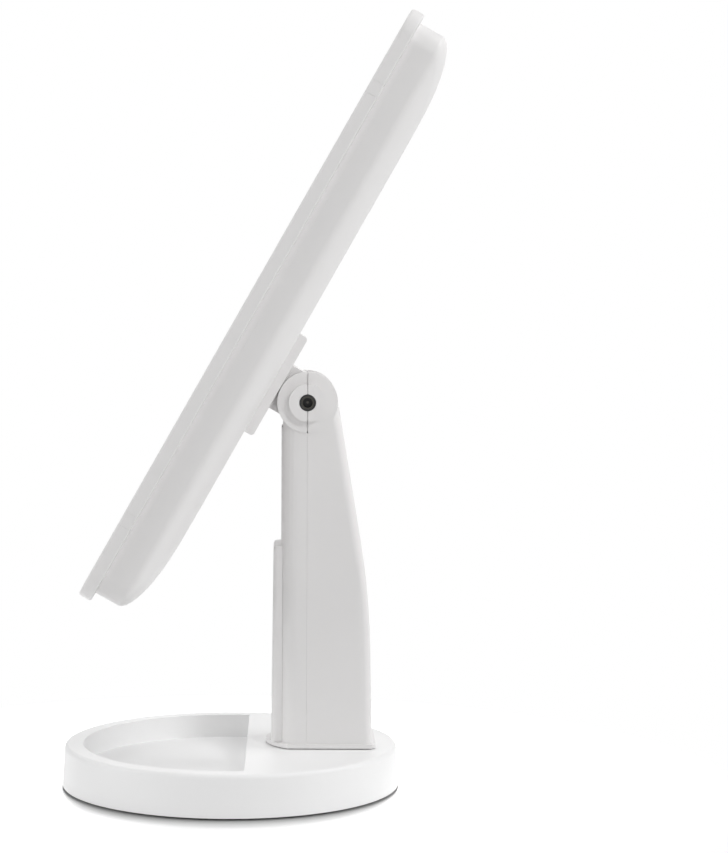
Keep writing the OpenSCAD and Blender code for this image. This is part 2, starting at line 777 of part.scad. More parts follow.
board_posts = concat(
    [for (side = [-1, 1], b = [-1.5:1:1.5]) [side * led_a, panel_mid + b * 50]],
    [for (side = [-1, 1]) [side * top_led_pitch / 2, led_row_b]]);
driver_w = 56;
driver_l = 34;
driver_b = plate_l / 2 + driver_l / 2 + 19;
driver_front = casing_back - casing_wall - 5;
driver_posts = [for (a = [-1, 1], b = [-1, 1])
    [a * (driver_w / 2 - 4), driver_b + b * (driver_l / 2 - 4)]];

module rear_casing() {
    outer = concat([casing_ring(0, casing_front + casing_gap)], crown_rings(0));
    inner = concat([casing_ring(casing_wall, casing_front + casing_gap)], crown_rings(casing_wall));
    color(white) at_panel() {
        difference() {
            loft(reversed([for (ring = concat(reversed(inner), outer)) reversed(ring)]));
            for (p = bracket_screw_spots) translate([p.x, p.y, casing_back - casing_wall - 1])
                cylinder(r = screw_r + 0.2, h = casing_wall + 2, $fn = 32);
        }
        for (p = board_posts) {
            from_side = min(casing_a - abs(p.x), panel_mid + casing_b - p.y);
            translate([p.x, p.y, board_front + board_t])
                cylinder(r = board_post_r, h = inner_depth(from_side) + 0.6 - board_front - board_t,
                    $fn = 32);
        }
        for (p = driver_posts) translate([p.x, p.y, driver_front + board_t])
            cylinder(r = board_post_r, h = casing_back - casing_wall + 0.6 - driver_front - board_t,
                $fn = 32);
    }
}

// Spots of the lights: two side rows and a top row.
led_spots = concat(
    [for (side = [-1, 1], i = [0:side_leds - 1]) [side * led_a, side_led_top - i * side_led_pitch]],
    [for (i = [1:top_leds]) [-led_a + i * top_led_pitch, led_row_b]]);

// Ear of a wing hinge: it stands on the bezel, flush with the wing it carries.
module hinge_ear() {
    root_a = casing_a - 2.5;
    difference() {
        union() {
            intersection() {
                wing_block();
                translate([root_a, -ear_w / 2, wing_front - 1])
                    cube([panel_w, ear_w, wing_t + 2]);
                translate([pin_a, ear_w, pin_c]) rotate([90, 0, 0])
                    cylinder(r = ear_reach, h = 2 * ear_w);
            }
            translate([root_a, -ear_w / 2, wing_back - 1])
                cube([casing_a - root_a, ear_w, wing_gap + 1.5]);
        }
        translate([pin_a, ear_w / 2 + 1, pin_c]) rotate([90, 0, 0])
            cylinder(r = pin_r, h = ear_w + 2, $fn = 32);
    }
}

ear_reach = 4.75;
ear_spots = [for (side = [-1, 1], b = [-1, 1]) [side, panel_mid + b * ear_at]];
clip_h = 5;
clip_w = 9;

module front_bezel() {
    seat_w = mirror_w + 0.4;
    color(white) at_panel() {
        difference() {
            loft([casing_ring(0, bezel_front), casing_ring(0, casing_front)]);
            translate([-seat_w / 2, mirror_low - 0.2, bezel_front - 1])
                cube([seat_w, mirror_high - mirror_low + 0.4, mirror_seat + 1]);
            for (p = led_spots) translate([p.x, p.y, bezel_front - 1])
                cylinder(r = lens_r + 0.1, h = bezel_t + 2, $fn = 32);
        }
        for (s = ear_spots) translate([0, s[1], 0]) scale([s[0], 1, 1]) hinge_ear();
        for (side = [-1, 1], b = [-2:1:2])
            translate([side * (casing_a - casing_wall - 0.8) - 0.6,
                panel_mid + b * casing_b / 3 - clip_w / 2, casing_front - 0.1])
                cube([1.2, clip_w, clip_h]);
    }
}

module centre_mirror() {
    color(glass) at_panel() translate([-mirror_w / 2, mirror_low, bezel_front + 0.1])
        cube([mirror_w, mirror_high - mirror_low, mirror_t]);
}

module led_boards() {
    low = panel_mid - casing_b + casing_wall + 14;
    high = led_row_b + led_board_w / 2;
    color(board_green) at_panel() translate([0, 0, board_front]) linear_extrude(board_t) {
        for (side = [-1, 1]) translate([side * led_a - led_board_w / 2, low])
            square([led_board_w, high - low]);
        translate([-led_a, led_row_b - led_board_w / 2]) square([2 * led_a, led_board_w]);
    }
}

module leds() {
    chip = 3;
    color([0.95, 0.9, 0.6]) at_panel() for (p = led_spots)
        translate([p.x - chip / 2, p.y - chip / 2, board_front - led_chip_h])
            cube([chip, chip, led_chip_h]);
}

module led_lenses() {
    color([0.97, 0.97, 0.95]) at_panel() for (p = led_spots) translate([p.x, p.y, 0]) {
        translate([0, 0, bezel_front + 0.1])
            cylinder(r = lens_r, h = bezel_t + lens_flange_t - 0.1, $fn = 32);
        translate([0, 0, casing_front]) cylinder(r = lens_r + 1, h = lens_flange_t, $fn = 32);
    }
}

module driver_board() {
    color(board_green) at_panel() {
        translate([-driver_w / 2, driver_b - driver_l / 2, driver_front])
            cube([driver_w, driver_l, board_t]);
        for (i = [-1:1]) translate([i * 14 - 4, driver_b - 4, driver_front - 2]) cube([8, 8, 2]);
    }
}

module touch_sensor_board() {
    color(board_green) at_panel() translate([-10, mirror_low + 4, casing_front])
        cube([20, 16, board_t]);
}

pin_l = ear_w + 10;

module wing_hinge_pins() {
    color(steel) at_panel() for (s = ear_spots)
        translate([s[0] * pin_a, s[1] + pin_l / 2, pin_c]) rotate([90, 0, 0])
            cylinder(r = pin_r, h = pin_l, $fn = 32);
}

// ---- Wings ----

// Outline of the wing on the positive side, drawn in by an inset.
function wing_ring(inset, c) = at_height(rounded(
    wing_gap / 2 + inset, panel_w / 2 - inset,
    panel_mid - panel_l / 2 + inset, panel_mid + panel_l / 2 - inset,
    [0.6, wing_corner_r - inset, wing_corner_r - inset, 0.6]), c);

wing_border = 6;
wing_mirror_a = [wing_gap / 2 + 4, panel_w / 2 - wing_border - 2.5];
wing_mirror_b = [panel_mid - panel_l / 2 + wing_border + 3, panel_mid + panel_l / 2 - wing_border - 3];

// Rectangle between two corners, in the panel's frame, from the wing's mating face.
module mirror_block(a, b, clear, depth, sink) {
    translate([a[0] - clear, b[0] - clear, wing_back - depth])
        cube([a[1] - a[0] + 2 * clear, b[1] - b[0] + 2 * clear, depth - sink]);
}

// Solid wing on the positive side, with rounded edges.
module wing_block() {
    loft([for (s = [[wing_edge_r, 0], [wing_edge_r * 0.3, 0.3], [0, 1]])
            wing_ring(s[0], wing_front + wing_edge_r * s[1]),
        wing_ring(0, wing_back - 0.5),
        wing_ring(0.15, wing_back - 0.15),
        wing_ring(0.5, wing_back)]);
}

// Wing on the positive side, with a seat for each mirror given as a span along the panel.
module wing_frame(spans) {
    notch_a = pin_a - ear_reach - ear_gap;
    difference() {
        wing_block();
        for (b = spans) mirror_block(wing_mirror_a, b, 0.2, mirror_seat, -1);
        for (end = [-1, 1]) translate([0, panel_mid + end * ear_at, 0]) {
            translate([notch_a, -ear_w / 2 - ear_gap, wing_front - 1])
                cube([panel_w, ear_w + 2 * ear_gap, wing_t + 2]);
            translate([pin_a, pin_l / 2 + 0.1, pin_c]) rotate([90, 0, 0])
                cylinder(r = pin_r + pin_gap, h = pin_l + 0.2, $fn = 32);
        }
    }
}

wing_split = panel_mid - 4;
upper_span = [wing_split + 2, wing_mirror_b[1]];
lower_span = [wing_mirror_b[0], wing_split - 2];

module left_wing_frame() {
    color(white) at_panel() wing_frame([upper_span, lower_span]);
}

module left_upper_mirror() {
    color(glass) at_panel() mirror_block(wing_mirror_a, upper_span, 0, mirror_t + 0.1, 0.1);
}

module left_lower_mirror() {
    color(glass) at_panel() mirror_block(wing_mirror_a, lower_span, 0, mirror_t + 0.1, 0.1);
}

module right_wing_frame() {
    color(white) at_panel() mirror([1, 0, 0]) wing_frame([wing_mirror_b]);
}

module right_mirror() {
    color(glass) at_panel() mirror([1, 0, 0])
        mirror_block(wing_mirror_a, wing_mirror_b, 0, mirror_t + 0.1, 0.1);
}

base_shell();
base_bottom_cover();
ballast_plate();
non_slip_pad();
base_screws();
column_front_shell();
column_rear_shell();
column_screws();
foot_screws();
battery_cradle();
battery_cells();
battery_contacts();
battery_springs();
dc_jack();
jack_sleeve();
jack_contacts();
hinge_axle();
friction_washers();
battery_door();
hinge_bracket();
bracket_screws();
rear_casing();
front_bezel();
centre_mirror();
led_boards();
leds();
led_lenses();
driver_board();
touch_sensor_board();
wing_hinge_pins();
left_wing_frame();
left_upper_mirror();
left_lower_mirror();
right_wing_frame();
right_mirror();
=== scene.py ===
"""Looks of a trifold vanity mirror, dressed around its fixed frame of solids.

The mirror stands with its wings closed and leans back on a tapered post. -X is
the user's side, +X the rear, +Z up. Lengths are metres unless a name ends in _mm.
"""
from __future__ import annotations

import logging
import math
from dataclasses import dataclass
from enum import Enum
from typing import Sequence, Union

import bmesh
import bpy
from mathutils import Matrix, Vector


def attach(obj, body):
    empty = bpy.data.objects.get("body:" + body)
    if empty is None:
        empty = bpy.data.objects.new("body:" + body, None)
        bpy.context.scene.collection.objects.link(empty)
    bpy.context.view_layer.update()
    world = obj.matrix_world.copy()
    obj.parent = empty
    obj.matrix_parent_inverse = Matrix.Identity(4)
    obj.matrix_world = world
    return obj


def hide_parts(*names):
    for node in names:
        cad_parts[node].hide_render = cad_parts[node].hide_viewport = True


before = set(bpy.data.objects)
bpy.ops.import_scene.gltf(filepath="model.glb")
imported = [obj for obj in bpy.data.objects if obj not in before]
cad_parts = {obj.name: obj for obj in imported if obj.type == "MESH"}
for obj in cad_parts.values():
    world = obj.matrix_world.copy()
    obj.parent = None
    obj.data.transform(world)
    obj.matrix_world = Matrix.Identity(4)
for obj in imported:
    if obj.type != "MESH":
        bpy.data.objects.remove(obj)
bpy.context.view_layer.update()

LOG = logging.getLogger("vanity_mirror")
MM = 0.001

MERGE_MM = 0.002
FLAT_DEG = 0.6
SHARP_MORE_DEG = 12.0

Colour = tuple[float, float, float]


# ---------------------------------------------------------------- shader maths


class Wire:
    """One output of a node tree, with the arithmetic that shaders need."""

    def __init__(self, graph: "Graph", socket: bpy.types.NodeSocket) -> None:
        """Wraps a socket of a graph's tree."""
        self.graph = graph
        self.socket = socket

    def _math(self, operation: str, *values: "Value") -> "Wire":
        """Adds one Math node.

        Args:
            operation: the Math node's operation.
            *values: numbers or wires for its inputs, in order.

        Returns:
            The node's result.
        """
        node = self.graph.node(
            "ShaderNodeMath", {"operation": operation}, dict(enumerate(values))
        )
        return Wire(self.graph, node.outputs[0])

    def __add__(self, other: "Value") -> "Wire":
        """Sum."""
        return self._math("ADD", self, other)

    __radd__ = __add__

    def __sub__(self, other: "Value") -> "Wire":
        """Difference."""
        return self._math("SUBTRACT", self, other)

    def __rsub__(self, other: "Value") -> "Wire":
        """Difference from a number."""
        return self._math("SUBTRACT", other, self)

    def __mul__(self, other: "Value") -> "Wire":
        """Product."""
        return self._math("MULTIPLY", self, other)

    __rmul__ = __mul__

    def __truediv__(self, other: "Value") -> "Wire":
        """Quotient."""
        return self._math("DIVIDE", self, other)

    def power(self, exponent: float) -> "Wire":
        """This value raised to an exponent."""
        return self._math("POWER", self, exponent)

    def clamped(self) -> "Wire":
        """This value kept between 0 and 1."""
        return self._math("MINIMUM", self._math("MAXIMUM", self, 0.0), 1.0)


Value = Union[float, int, Colour, Wire]


class Graph:
    """A material's node tree around one Principled shader."""

    def __init__(self, name: str) -> None:
        """Makes an empty material of that name."""
        self.material = bpy.data.materials.new(name)
        self.material.use_nodes = True
        self.tree = self.material.node_tree
        self.tree.nodes.clear()

    @classmethod
    def around(cls, tree: bpy.types.NodeTree) -> "Graph":
        """A graph on a tree that isn't a material's."""
        graph = cls.__new__(cls)
        graph.tree = tree
        tree.nodes.clear()
        return graph

    def background_seen(self) -> Wire:
        """One for rays that show the background: the camera's and reflected ones."""
        path = self.node("ShaderNodeLightPath")
        camera, glossy, through = (
            Wire(self, path.outputs[f"Is {kind} Ray"])
            for kind in ("Camera", "Glossy", "Transmission")
        )
        return (camera + glossy + through).clamped()

    def node(
        self,
        kind: str,
        settings: dict[str, object] | None = None,
        inputs: dict[Union[str, int], Value] | None = None,
    ) -> bpy.types.Node:
        """Adds a node, sets it up and links it.

        Args:
            kind: the node's type.
            settings: properties to set first, such as an operation.
            inputs: value or wire for each input, by name or index.

        Returns:
            The new node.
        """
        node = self.tree.nodes.new(kind)
        for key, value in (settings or {}).items():
            setattr(node, key, value)
        for key, value in (inputs or {}).items():
            self.feed(node.inputs[key], value)
        return node

    def feed(self, socket: bpy.types.NodeSocket, value: Value) -> None:
        """Links a wire to a socket, or sets the socket's own value."""
        if isinstance(value, Wire):
            self.tree.links.new(value.socket, socket)
        elif isinstance(value, bpy.types.NodeSocket):
            self.tree.links.new(value, socket)
        elif isinstance(value, tuple) and len(value) == 3 and socket.type == "RGBA":
            socket.default_value = (*value, 1.0)
        else:
            socket.default_value = value

    def object_place(self) -> bpy.types.NodeSocket:
        """The object's own coordinates."""
        return self.node("ShaderNodeTexCoord").outputs["Object"]

    def noise(
        self, scale_mm: float, detail: float = 2.0, stretch: Colour = (1, 1, 1)
    ) -> Wire:
        """Noise on the object's own coordinates.

        Args:
            scale_mm: size of the grains.
            detail: finer layers of noise.
            stretch: how much longer the grains are along each axis.

        Returns:
            A value around a half.
        """
        mapping = self.node(
            "ShaderNodeMapping", {"vector_type": "POINT"},
            {"Vector": self.object_place(), "Scale": tuple(1.0 / s for s in stretch)},
        )
        noise = self.node(
            "ShaderNodeTexNoise", {"noise_dimensions": "3D"},
            {
                "Vector": mapping.outputs[0],
                "Scale": 1.0 / (scale_mm * MM),
                "Detail": detail,
            },
        )
        return Wire(self, noise.outputs[0])

    def blend(self, factor: Value, low: Value, high: Value) -> Wire:
        """Mix of two colours by a factor."""
        node = self.node(
            "ShaderNodeMix", {"data_type": "RGBA"},
            {"Factor": factor, 6: low, 7: high},
        )
        return Wire(self, node.outputs[2])

    def bump(self, height: Wire, depth_mm: float) -> Wire:
        """Normal bent by a height.

        Args:
            height: value from 0 to 1.
            depth_mm: real depth of a full step.

        Returns:
            The bent normal.
        """
        node = self.node(
            "ShaderNodeBump", {},
            {"Height": height, "Distance": depth_mm * MM, "Strength": 1.0},
        )
        return Wire(self, node.outputs[0])

    def principled(self, **sockets: Value) -> bpy.types.Material:
        """Ends the tree in a Principled shader.

        Args:
            **sockets: value or wire of each socket; an underscore stands for a space.

        Returns:
            The finished material.
        """
        shader = self.node(
            "ShaderNodeBsdfPrincipled", {},
            {key.replace("_", " "): value for key, value in sockets.items()},
        )
        self.node("ShaderNodeOutputMaterial", {}, {"Surface": shader.outputs[0]})
        return self.material


# ---------------------------------------------------------------- finishes


@dataclass(frozen=True)
class SatinPlastic:
    """Moulded plastic with a fine satin grain."""

    name: str
    colour: Colour
    roughness: float = 0.46
    grain_mm: float = 0.35
    grain_depth_mm: float = 0.004
    tone: float = 0.012
    cloud_mm: float = 28.0
    slot: str = ""

    def build(self) -> bpy.types.Material:
        """Makes the material."""
        graph = Graph(self.name)
        cloud = graph.noise(self.cloud_mm, 3.0)
        fine = graph.noise(self.grain_mm, 3.0)
        low = tuple(c * (1.0 - self.tone) for c in self.colour)
        high = tuple(min(1.0, c * (1.0 + self.tone)) for c in self.colour)
        satin = self.roughness + (cloud - 0.5) * 0.08 + (fine - 0.5) * 0.1
        return graph.principled(
            Base_Color=graph.blend(cloud, low, high),
            Roughness=satin.clamped(),
            Normal=graph.bump(fine, self.grain_depth_mm),
        )


@dataclass(frozen=True)
class PlatedSteel:
    """Plated or turned steel with fine streaks."""

    name: str
    colour: Colour
    roughness: float = 0.28
    streak_mm: float = 0.5

    def build(self) -> bpy.types.Material:
        """Makes the material."""
        graph = Graph(self.name)
        streak = graph.noise(self.streak_mm, 4.0, (1, 8, 1))
        cloud = graph.noise(6.0)
        dark = tuple(c * 0.86 for c in self.colour)
        return graph.principled(
            Base_Color=graph.blend(cloud, dark, self.colour),
            Metallic=1.0,
            Roughness=(self.roughness + (streak - 0.5) * 0.2).clamped(),
            Normal=graph.bump(streak, 0.003),
        )


@dataclass(frozen=True)
class SilveredGlass:
    """Mirror glass with a trace of dust and a clear front."""

    name: str
    colour: Colour = (0.9, 0.915, 0.92)

    def build(self) -> bpy.types.Material:
        """Makes the material."""
        graph = Graph(self.name)
        haze = graph.noise(40.0, 4.0)
        dust = graph.noise(1.2, 5.0)
        dull = tuple(c * 0.99 for c in self.colour)
        return graph.principled(
            Base_Color=graph.blend(haze, self.colour, dull),
            Metallic=1.0,
            Roughness=(0.012 + haze * 0.014 + dust.power(8.0) * 0.08).clamped(),
            Coat_Weight=1.0,
            Coat_Roughness=0.01,
        )


@dataclass(frozen=True)
class SoftPad:
    """Foamed pad with open grain."""

    name: str
    colour: Colour

    def build(self) -> bpy.types.Material:
        """Makes the material."""
        graph = Graph(self.name)
        grain = graph.noise(0.9, 4.0)
        dark = tuple(c * 0.7 for c in self.colour)
        return graph.principled(
            Base_Color=graph.blend(grain, dark, self.colour),
            Roughness=(0.82 + (grain - 0.5) * 0.2).clamped(),
            Normal=graph.bump(grain, 0.08),
        )


@dataclass(frozen=True)
class CircuitBoard:
    """Solder mask with faint tracks."""

    name: str
    colour: Colour

    def build(self) -> bpy.types.Material:
        """Makes the material."""
        graph = Graph(self.name)
        weave = graph.noise(0.6, 2.0, (1, 6, 1))
        track = graph.noise(3.0, 0.0, (1, 1, 9))
        dark = tuple(c * 0.6 for c in self.colour)
        return graph.principled(
            Base_Color=graph.blend(track, dark, self.colour),
            Roughness=(0.35 + (weave - 0.5) * 0.2).clamped(),
            Normal=graph.bump(track, 0.03),
        )


@dataclass(frozen=True)
class FrostedLens:
    """Milky plastic that scatters a little light."""

    name: str
    colour: Colour = (0.9, 0.9, 0.87)

    def build(self) -> bpy.types.Material:
        """Makes the material."""
        graph = Graph(self.name)
        fine = graph.noise(0.25, 3.0)
        return graph.principled(
            Base_Color=graph.blend(fine, self.colour, (0.97, 0.97, 0.95)),
            Roughness=(0.5 + (fine - 0.5) * 0.2).clamped(),
            Normal=graph.bump(fine, 0.01),
        )


class Finish(Enum):
    """The mirror's finishes, by the material slot each belongs to."""

    WHITE = SatinPlastic("white_plastic", (0.812, 0.803, 0.8))
    # The base's copy of the white plastic: neutral like the real base, and painted lighter
    # than the panel's white to stand in for the light that the floor bounces onto the base
    # wall.
    BASE_PAINTED_BOUNCE = SatinPlastic("base_white_plastic_painted_bounce", (0.91, 0.91, 0.91), slot="white_plastic")
    INNER = SatinPlastic("inner_plastic", (0.74, 0.74, 0.73), roughness=0.5)
    BLACK = SatinPlastic("black_plastic", (0.012, 0.012, 0.013), roughness=0.3)
    STEEL = PlatedSteel("steel", (0.62, 0.63, 0.65))
    NICKEL = PlatedSteel("nickel", (0.76, 0.75, 0.72), roughness=0.16, streak_mm=0.3)
    # The jack's nickel sleeve and contacts are painted near black, as painted shade for the
    # dark inside of the socket.
    SLEEVE_PAINTED_SHADE = PlatedSteel(
        "nickel_painted_shade", (0.07, 0.068, 0.06), roughness=0.2, streak_mm=0.3
    )
    PAD = SoftPad("pad_rubber", (0.09, 0.09, 0.095))
    BOARD = CircuitBoard("circuit_board", (0.03, 0.2, 0.1))
    CHIP = SatinPlastic("led_chip", (0.85, 0.72, 0.25), roughness=0.25)
    LENS = FrostedLens("frosted_lens")
    CELL = SatinPlastic(
        "cell_can", (0.13, 0.15, 0.18), roughness=0.22, grain_depth_mm=0.001
    )
    GLASS = SilveredGlass("mirror_glass")


class Wardrobe:
    """Builds each finish once and hands it out."""

    def __init__(self) -> None:
        """Starts with nothing built."""
        self._made: dict[Finish, bpy.types.Material] = {}

    def get(self, finish: Finish) -> bpy.types.Material:
        """The material of a finish."""
        if finish not in self._made:
            self._made[finish] = finish.value.build()
        return self._made[finish]

    def dress(self, piece: bpy.types.Object, finish: Finish) -> None:
        """Gives a piece one finish all over."""
        piece.data.materials.clear()
        piece.data.materials.append(self.get(finish))


# ---------------------------------------------------------------- meshes


@dataclass(frozen=True)
class Tilt:
    """The panel's own frame: across, up from the tilt axis, and rearwards."""

    pivot_x_mm: float = 29.5
    pivot_z_mm: float = 150.0
    lean_deg: float = 29.5

    def matrix(self) -> Matrix:
        """Turns panel coordinates in metres into places in the scene."""
        turn = Matrix.Rotation(math.radians(self.lean_deg), 4, "Y")
        axes = Matrix(((0, 0, 1, 0), (1, 0, 0, 0), (0, 1, 0, 0), (0, 0, 0, 1)))
        pivot = Vector((self.pivot_x_mm * MM, 0.0, self.pivot_z_mm * MM))
        return Matrix.Translation(pivot) @ turn @ axes

    def local(self, point: Vector) -> Vector:
        """A point of the scene in panel coordinates."""
        return self.matrix().inverted() @ point


@dataclass(frozen=True)
class Rounding:
    """How the edges of a moulded piece are broken."""

    width_mm: float = 0.4
    segments: int = 3
    angle_deg: float = 28.0
    merge_mm: float = MERGE_MM

    def weight(self, middle: Vector) -> float:
        """Share of the width that the edge at a point gets."""
        return 1.0


@dataclass(frozen=True)
class BaseRounding(Rounding):
    """The tray's rim and floor are rounded more than the base's other edges."""

    width_mm: float = 1.5
    segments: int = 4
    floor_mm: float = 7.3
    rim_mm: float = 16.5
    tray_end_mm: float = 6.3
    tray_r_mm: float = 60.0
    slack_mm: float = 0.1
    others: float = 0.1

    def weight(self, middle: Vector) -> float:
        """Full on the tray, little elsewhere."""
        height, back = middle.z / MM, middle.x / MM
        before_end = back < self.tray_end_mm + self.slack_mm
        above_floor = self.floor_mm - self.slack_mm < height
        radius = math.hypot(middle.x, middle.y) / MM
        if before_end and above_floor and radius < self.tray_r_mm:
            return 1.0 if height < self.rim_mm + self.slack_mm else 0.0
        return self.others


@dataclass(frozen=True)
class JointRounding(Rounding):
    """Rounded, but crisp where two halves of the panel meet."""

    joint_mm: float = -31.4
    near_mm: float = 0.35
    tilt: Tilt = Tilt()

    def weight(self, middle: Vector) -> float:
        """None near the joint's plane."""
        off = abs(self.tilt.local(middle).z / MM - self.joint_mm)
        return 0.0 if off < self.near_mm else 1.0


@dataclass(frozen=True)
class WingRounding(Rounding):
    """Crisp, but well rounded along the outer rear edge."""

    width_mm: float = 0.9
    segments: int = 4
    angle_deg: float = 35.0
    tilt: Tilt = Tilt()
    outer_mm: float = 86.5
    back_mm: float = -34.4
    others: float = 0.17

    def weight(self, middle: Vector) -> float:
        """Full behind the rim, little elsewhere."""
        local = self.tilt.local(middle)
        behind = local.z / MM > self.back_mm and abs(local.x) / MM > self.outer_mm
        return 1.0 if behind else self.others


@dataclass(frozen=True)
class PostRounding(Rounding):
    """The pivot's rings are rounded more than the post's other edges."""

    width_mm: float = 0.4
    segments: int = 3
    ring_mm: float = 134.0
    others: float = 0.4

    def weight(self, middle: Vector) -> float:
        """Full at the pivot, less below it."""
        return 1.0 if middle.z / MM > self.ring_mm else self.others


@dataclass(frozen=True)
class Settle:
    """Moves corners of a piece to its neighbour, so that no gap shows."""

    tilt: Tilt = Tilt()
    slack_mm: float = 0.02

    def place(self, corner: Vector) -> Vector:
        """Where a corner goes."""
        return corner


@dataclass(frozen=True)
class WingSettle(Settle):
    """A closed wing lies on the bezel."""

    back_mm: float = -34.15
    gap_mm: float = 0.13

    def place(self, corner: Vector) -> Vector:
        """Draws the mating face back to the bezel."""
        local = self.tilt.local(corner)
        if local.z / MM > self.back_mm - self.slack_mm:
            local.z += self.gap_mm * MM
        return self.tilt.matrix() @ local


@dataclass(frozen=True)
class CasingSettle(Settle):
    """The casing's rim meets the bezel."""

    rim_mm: float = -31.36
    gap_mm: float = 0.035

    def place(self, corner: Vector) -> Vector:
        """Draws the rim forward to the bezel."""
        local = self.tilt.local(corner)
        if local.z / MM < self.rim_mm + self.slack_mm:
            local.z -= self.gap_mm * MM
        return self.tilt.matrix() @ local


@dataclass(frozen=True)
class EarSettle(Settle):
    """The hinge ears nearly fill their notches in the wings."""

    middles_mm: tuple[float, float] = (-65.3, 110.7)
    half_mm: float = 2.5
    near_mm: float = 0.1
    front_mm: float = -34.1
    inner_mm: float = 82.0
    gap_mm: float = 0.055

    def place(self, corner: Vector) -> Vector:
        """Widens the ears along the pin."""
        local = self.tilt.local(corner)
        if local.z / MM < self.front_mm and abs(local.x) / MM > self.inner_mm:
            for middle in self.middles_mm:
                off = local.y / MM - middle
                if abs(abs(off) - self.half_mm) < self.near_mm:
                    local.y += math.copysign(self.gap_mm, off) * MM
        return self.tilt.matrix() @ local


@dataclass(frozen=True)
class DoorSettle(Settle):
    """The door's edges reach the post and the foot lip."""

    side_mm: float = 9.9
    back_mm: float = 19.0
    foot_mm: float = 18.7
    top_mm: float = 91.0
    gap_mm: float = 0.25
    foot_gap_mm: float = 0.2
    slack_mm: float = 0.05

    def place(self, corner: Vector) -> Vector:
        """Draws the long edges and the top back, and the lower edge down."""
        moved = corner.copy()
        outside = abs(corner.y) / MM > self.side_mm or corner.z / MM > self.top_mm
        if outside and corner.x / MM > self.back_mm:
            moved.x += self.gap_mm * MM
        if corner.z / MM < self.foot_mm + self.slack_mm:
            moved.z -= self.foot_gap_mm * MM
        return moved


def cleaned(node: str, merge_mm: float) -> bmesh.types.BMesh:
    """A node's surface with its loose triangles joined and its flats made whole.

    Args:
        node: the solid's name.
        merge_mm: distance within which points are one.

    Returns:
        A new shape, to be freed.
    """
    shape = bmesh.new()
    shape.from_mesh(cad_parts[node].data)
    bmesh.ops.remove_doubles(shape, verts=shape.verts, dist=merge_mm * MM)
    bmesh.ops.dissolve_degenerate(shape, edges=shape.edges, dist=merge_mm * MM)
    bmesh.ops.dissolve_limit(
        shape, angle_limit=math.radians(FLAT_DEG), verts=shape.verts, edges=shape.edges
    )
    return shape


def add_piece(name: str, mesh: bpy.types.Mesh) -> bpy.types.Object:
    """Puts a mesh into the scene as an object at the origin."""
    piece = bpy.data.objects.new(name, mesh)
    bpy.context.scene.collection.objects.link(piece)
    return piece


def apply_modifiers(piece: bpy.types.Object) -> None:
    """Turns a piece's modifiers into its mesh."""
    graph = bpy.context.evaluated_depsgraph_get()
    result = bpy.data.meshes.new_from_object(piece.evaluated_get(graph))
    piece.modifiers.clear()
    old = piece.data
    piece.data = result
    bpy.data.meshes.remove(old)


def rounded_piece(
    node: str, rounding: Rounding, settle: Settle
) -> bpy.types.Object:
    """A solid's surface again, with its edges rounded as a mould leaves them.

    Args:
        node: the solid that the piece stands for.
        rounding: width and fineness of the edges.
        settle: where its corners go to meet a neighbour.

    Returns:
        The new piece.
    """
    shape = cleaned(node, rounding.merge_mm)
    for vertex in shape.verts:
        vertex.co = settle.place(vertex.co)
    weights = shape.edges.layers.float.new("bevel_weight_edge")
    least = math.radians(rounding.angle_deg)
    for edge in shape.edges:
        if len(edge.link_faces) == 2 and edge.calc_face_angle() > least:
            middle = (edge.verts[0].co + edge.verts[1].co) / 2
            edge[weights] = rounding.weight(middle)
    mesh = bpy.data.meshes.new(f"{node}_surface")
    shape.to_mesh(mesh)
    shape.free()
    piece = add_piece(f"{node}_skin", mesh)
    bevel = piece.modifiers.new("edges", "BEVEL")
    bevel.width = rounding.width_mm * MM
    bevel.segments = rounding.segments
    bevel.limit_method = "WEIGHT"
    bevel.use_clamp_overlap = True
    bevel.miter_outer = "MITER_ARC"
    apply_modifiers(piece)
    piece.data.shade_smooth()
    sharp = math.radians(rounding.angle_deg + SHARP_MORE_DEG)
    piece.data.set_sharp_from_angle(angle=sharp)
    flats = piece.modifiers.new("flats", "WEIGHTED_NORMAL")
    flats.keep_sharp = True
    apply_modifiers(piece)
    return piece


def islands(node: str) -> list[list[Vector]]:
    """Corners of each separate solid of a node."""
    shape = bmesh.new()
    shape.from_mesh(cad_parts[node].data)
    bmesh.ops.remove_doubles(shape, verts=shape.verts, dist=MERGE_MM * MM)
    left, found = set(shape.verts), []
    while left:
        front, island = [left.pop()], []
        while front:
            vertex = front.pop()
            island.append(vertex.co.copy())
            for edge in vertex.link_edges:
                other = edge.other_vert(vertex)
                if other in left:
                    left.remove(other)
                    front.append(other)
        found.append(island)
    shape.free()
    return sorted(found, key=lambda corners: tuple(round(c, 5) for c in corners[0]))


def lathe(
    name: str, profile_mm: Sequence[tuple[float, float]], steps: int
) -> bpy.types.Object:
    """A solid turned around Z from a profile that starts and ends on the axis.

    Args:
        name: the object's name.
        profile_mm: radius and height of each corner, anticlockwise.
        steps: facets around.

    Returns:
        The object, with outward faces.
    """
    shape = bmesh.new()
    rings = []
    for radius, height in profile_mm:
        count = 1 if radius == 0.0 else steps
        rings.append([
            shape.verts.new((
                radius * MM * math.cos(math.tau * i / count),
                radius * MM * math.sin(math.tau * i / count),
                height * MM,
            ))
            for i in range(count)
        ])
    for low, high in zip(rings, rings[1:]):
        for i in range(steps):
            j = (i + 1) % steps
            if len(low) == 1:
                shape.faces.new((low[0], high[j], high[i]))
            elif len(high) == 1:
                shape.faces.new((low[i], low[j], high[0]))
            else:
                shape.faces.new((low[i], low[j], high[j], high[i]))
    bmesh.ops.recalc_face_normals(shape, faces=shape.faces)
    mesh = bpy.data.meshes.new(name)
    shape.to_mesh(mesh)
    shape.free()
    return add_piece(name, mesh)


# ---------------------------------------------------------------- repeats


